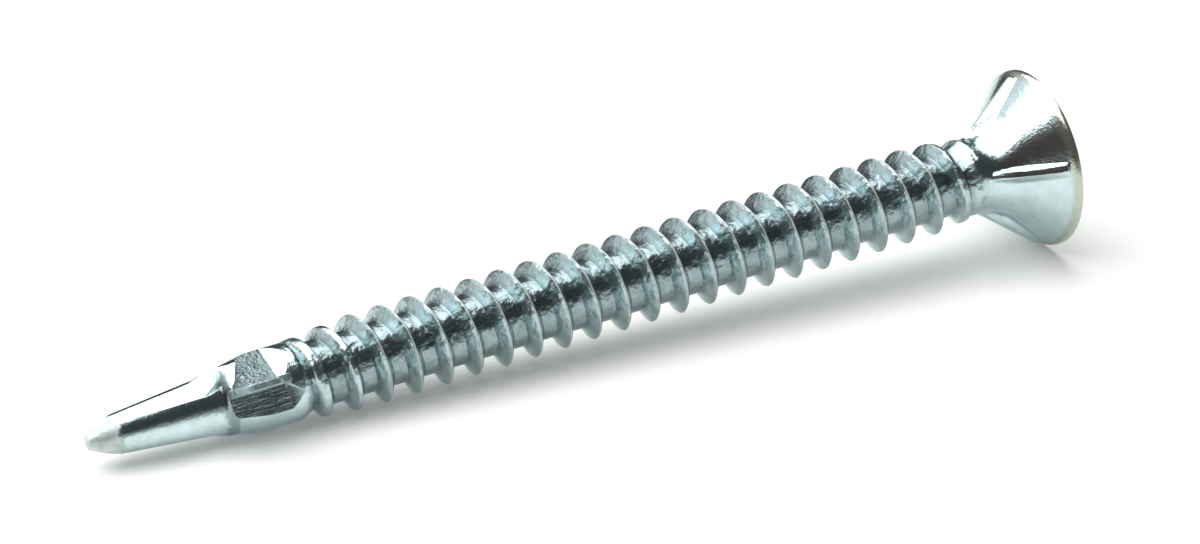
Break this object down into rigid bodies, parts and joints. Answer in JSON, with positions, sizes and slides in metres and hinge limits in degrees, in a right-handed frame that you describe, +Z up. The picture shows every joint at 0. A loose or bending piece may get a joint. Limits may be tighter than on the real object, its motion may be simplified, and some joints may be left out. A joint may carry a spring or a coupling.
{
  "type": "self drilling screw",
  "caption": "Long countersunk self-drilling screw with break-off wings, ribbed underhead, cross recess and full thread, for fixing timber to thin steel.",
  "frame": {"origin": "middle of the bounding box, on the surface that the screw lies on", "axes": "+X along the screw as it lies, from the drill point to the head, with the axis rising 3.4 degrees towards the head; +Z up from the surface; one wing points to -Y and 30 degrees up"},
  "size_m": [0.052, 0.009, 0.009],
  "materials": {
    "zinc_steel": "bright electroplated zinc over cold-forged steel, with a clear bluish passivation and a slightly mottled surface"
  },
  "bodies": {
    "root": {"screw": "zinc_steel"}
  },
  "joints": []
}
